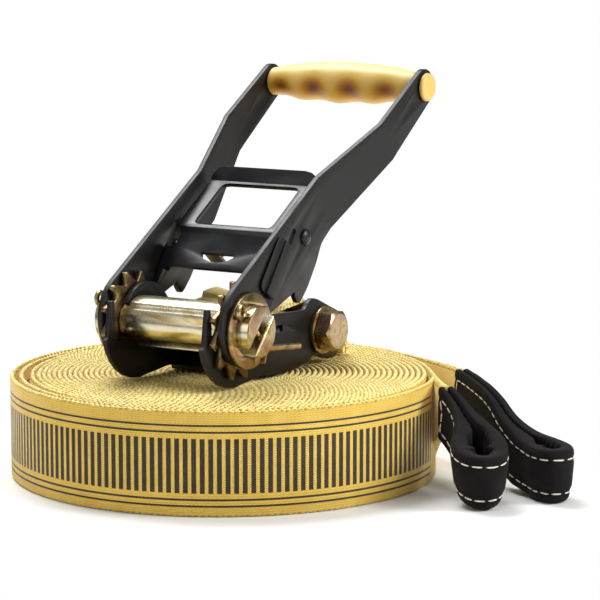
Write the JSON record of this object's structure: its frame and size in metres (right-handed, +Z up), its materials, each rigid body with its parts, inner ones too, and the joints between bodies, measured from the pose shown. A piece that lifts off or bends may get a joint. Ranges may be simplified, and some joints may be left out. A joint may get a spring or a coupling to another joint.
{
  "type": "slackline kit",
  "caption": "Slackline kit: a long-lever ratchet standing on its wound roll of flat webbing, with the line's and the anchor strap's padded loop ends lying beside it.",
  "frame": {"origin": "centre of the webbing roll's underside, on the floor", "axes": "+Z up; +X from the mandrel towards the anchor bolt, along the ratchet's side plates; the near plates are on -Y"},
  "size_m": [0.2279, 0.2873, 0.197],
  "materials": {
    "black_steel": "black satin coating",
    "zinc_steel": "yellow zinc plating",
    "yellow_webbing": "woven polyester webbing",
    "padded_sleeve": "black padded textile with light stitching",
    "moulded_grip": "moulded, satin"
  },
  "bodies": {
    "base": {"base_plate_near": "black_steel", "base_plate_far": "black_steel", "base_crossplate": "black_steel", "webbing_bolt": "zinc_steel", "bolt_washer_near": "zinc_steel", "bolt_washer_far": "zinc_steel", "bolt_nut": "zinc_steel", "bolt_sleeve": "zinc_steel", "base_pawl_spring": "zinc_steel", "ratchet_strap": "yellow_webbing", "webbing_roll": "yellow_webbing", "strap_wrap": "yellow_webbing", "line_tail": "yellow_webbing", "strap_tail": "yellow_webbing", "line_sleeve": "padded_sleeve", "strap_sleeve": "padded_sleeve"},
    "locking_pawl": {"base_pawl": "black_steel"},
    "lever": {"handle_plate_near": "black_steel", "handle_plate_far": "black_steel", "slot_cover_near": "black_steel", "slot_cover_far": "black_steel", "handle_tie": "black_steel", "upper_rivet_near": "black_steel", "upper_rivet_far": "black_steel", "lower_rivet_near": "black_steel", "lower_rivet_far": "black_steel", "grip": "moulded_grip", "grip_rod": "zinc_steel", "grip_cap_near": "moulded_grip", "grip_cap_far": "moulded_grip", "drive_pawl_spring": "zinc_steel"},
    "driving_pawl": {"drive_pawl": "black_steel"},
    "mandrel": {"mandrel_half_upper": "zinc_steel", "mandrel_half_lower": "zinc_steel", "ratchet_wheel_near": "zinc_steel", "ratchet_wheel_far": "zinc_steel", "washer_near": "zinc_steel", "washer_far": "zinc_steel", "split_pin_near": "zinc_steel", "split_pin_far": "zinc_steel"}
  },
  "joints": [
    {"name": "handle_swing", "type": "hinge", "parent": "base", "child": "lever", "pos_m": [-0.0397, -0.0037, 0.0786], "axis": [0, -1, 0], "range_deg": [-22, 145]},
    {"name": "drive_pawl_slide", "type": "slide", "parent": "lever", "child": "driving_pawl", "axis": [0.6225, 0, 0.7826], "range_m": [0, 0.006], "stiffness_N_per_m": 800, "springref_m": -0.006, "deforming": ["drive_pawl_spring"]},
    {"name": "mandrel_spin", "type": "hinge", "parent": "base", "child": "mandrel", "pos_m": [-0.0397, -0.0037, 0.0786], "axis": [0, -1, 0], "range_deg": [-22, 235]},
    {"name": "base_pawl_slide", "type": "slide", "parent": "base", "child": "locking_pawl", "axis": [1, 0, 0], "range_m": [0, 0.005], "stiffness_N_per_m": 800, "springref_m": -0.005, "deforming": ["base_pawl_spring"]}
  ]
}
